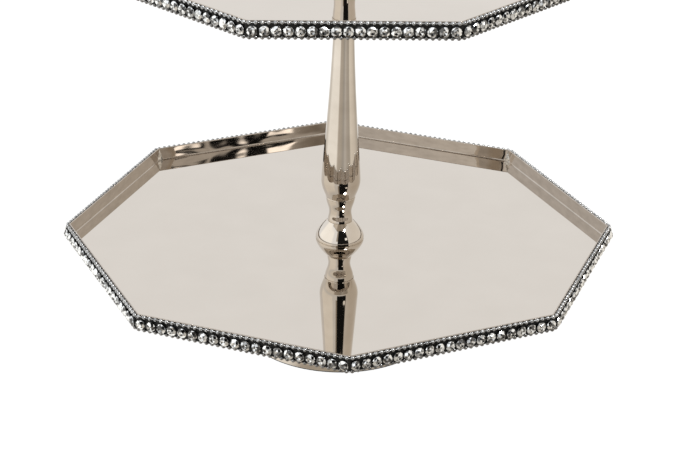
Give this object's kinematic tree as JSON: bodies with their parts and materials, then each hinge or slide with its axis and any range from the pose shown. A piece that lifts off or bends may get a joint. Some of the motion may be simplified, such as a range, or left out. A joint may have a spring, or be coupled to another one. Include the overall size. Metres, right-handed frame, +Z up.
{
  "type": "tiered cake stand",
  "caption": "Tiered serving stand: octagonal mirrored trays with jewelled rims on a turned column, a bell foot, and a handle that screws down on top.",
  "frame": {"origin": "centre of the felt face that the stand rests on", "axes": "+Z up along the column; a corner of the lower tray lies on -Y, and a side of the upper tray faces -Y"},
  "size_m": [0.3294, 0.3294, 0.3456],
  "materials": {
    "plate": "polished nickel plate",
    "mirror_floor": "mirror polish",
    "tray_wall": "polished nickel plate",
    "blackened": "satin black",
    "beads": "bright plate",
    "stones": "cut and foil-backed",
    "steel": "zinc plated",
    "washer": "matt",
    "felt": "pressed felt"
  },
  "bodies": {
    "base": {"felt_pad": "felt", "base_plate": "steel", "base_foot": "plate", "base_nut": "steel", "base_washer": "steel", "tie_rod": "steel", "base_collar": "plate", "lower_washer": "washer", "column_dome": "plate", "column": "plate", "column_collar": "plate", "upper_washer": "washer"},
    "lower_tray": {"lower_tray_floor": "mirror_floor", "lower_tray_wall": "tray_wall", "lower_gussets": "tray_wall", "lower_band_strip": "blackened", "lower_bead_wire_top": "beads", "lower_bead_wire_bottom": "beads", "lower_stones": "stones"},
    "upper_tray": {"upper_tray_floor": "mirror_floor", "upper_tray_wall": "tray_wall", "upper_gussets": "tray_wall", "upper_band_strip": "blackened", "upper_bead_wire_top": "beads", "upper_bead_wire_bottom": "beads", "upper_stones": "stones"},
    "handle_seat": {"handle_washer": "washer"},
    "handle": {"handle_dome": "plate", "handle_stem": "plate", "handle_grip": "plate", "handle_knob": "plate"}
  },
  "joints": [
    {"name": "lower_tray_turn", "type": "hinge", "parent": "base", "child": "lower_tray", "pos_m": [0, 0, 0.061], "axis": [0, 0, 1], "continuous": true},
    {"name": "upper_tray_turn", "type": "hinge", "parent": "base", "child": "upper_tray", "pos_m": [0, 0, 0.236], "axis": [0, 0, 1], "continuous": true},
    {"name": "handle_rise", "type": "slide", "parent": "base", "child": "handle_seat", "axis": [0, 0, 1], "range_m": [0, 0.007]},
    {"name": "handle_turn", "type": "hinge", "parent": "handle_seat", "child": "handle", "pos_m": [0, 0, 0.237], "axis": [0, 0, 1], "range_deg": [0, 2520]}
  ],
  "couplings": [
    {"joint": "handle_turn", "follows": "handle_rise", "rad_per_m": 6283.2}
  ]
}
